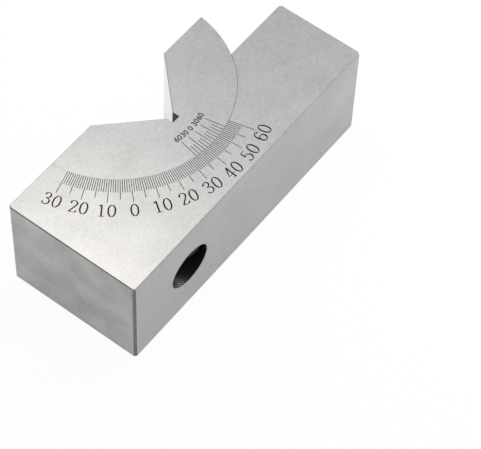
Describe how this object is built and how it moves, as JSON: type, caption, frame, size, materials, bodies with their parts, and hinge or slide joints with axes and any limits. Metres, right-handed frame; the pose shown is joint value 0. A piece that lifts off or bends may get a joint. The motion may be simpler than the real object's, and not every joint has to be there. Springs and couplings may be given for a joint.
{
  "type": "adjustable v block",
  "caption": "Ground steel V block whose round segment with a 90 degree V turns in the block, read on an engraved degree scale and clamped by a socket screw.",
  "frame": {"origin": "middle of the overall box at the block's back face", "axes": "+X along the block from its high end to its low ledge, +Y from the base face to the V's open side, +Z from the back face to the graduated face"},
  "size_m": [0.075, 0.032, 0.025],
  "materials": {
    "ground_steel": "hardened and ground, fine satin",
    "plain_steel": "machined",
    "black_oxide_steel": "black oxide, satin"
  },
  "bodies": {
    "base": {"base_block": "ground_steel"},
    "segment": {"v_segment": "ground_steel"},
    "screw": {"clamp_screw": "black_oxide_steel"},
    "nut": {"clamp_nut": "plain_steel"}
  },
  "joints": [
    {"name": "segment_tilt", "type": "hinge", "parent": "base", "child": "segment", "pos_m": [0, 0.0185, 0.0125], "axis": [0, 0, 1], "range_deg": [-75, 15]},
    {"name": "screw_turn", "type": "hinge", "parent": "base", "child": "screw", "pos_m": [-0.01525, -0.00791, 0.0125], "axis": [-0.5, -0.866, 0], "range_deg": [0, 225]},
    {"name": "nut_slide", "type": "slide", "parent": "base", "child": "nut", "axis": [0.5, 0.866, 0], "range_m": [0, 0.0005]}
  ],
  "couplings": [
    {"joint": "screw_turn", "follows": "nut_slide", "rad_per_m": 7853}
  ]
}
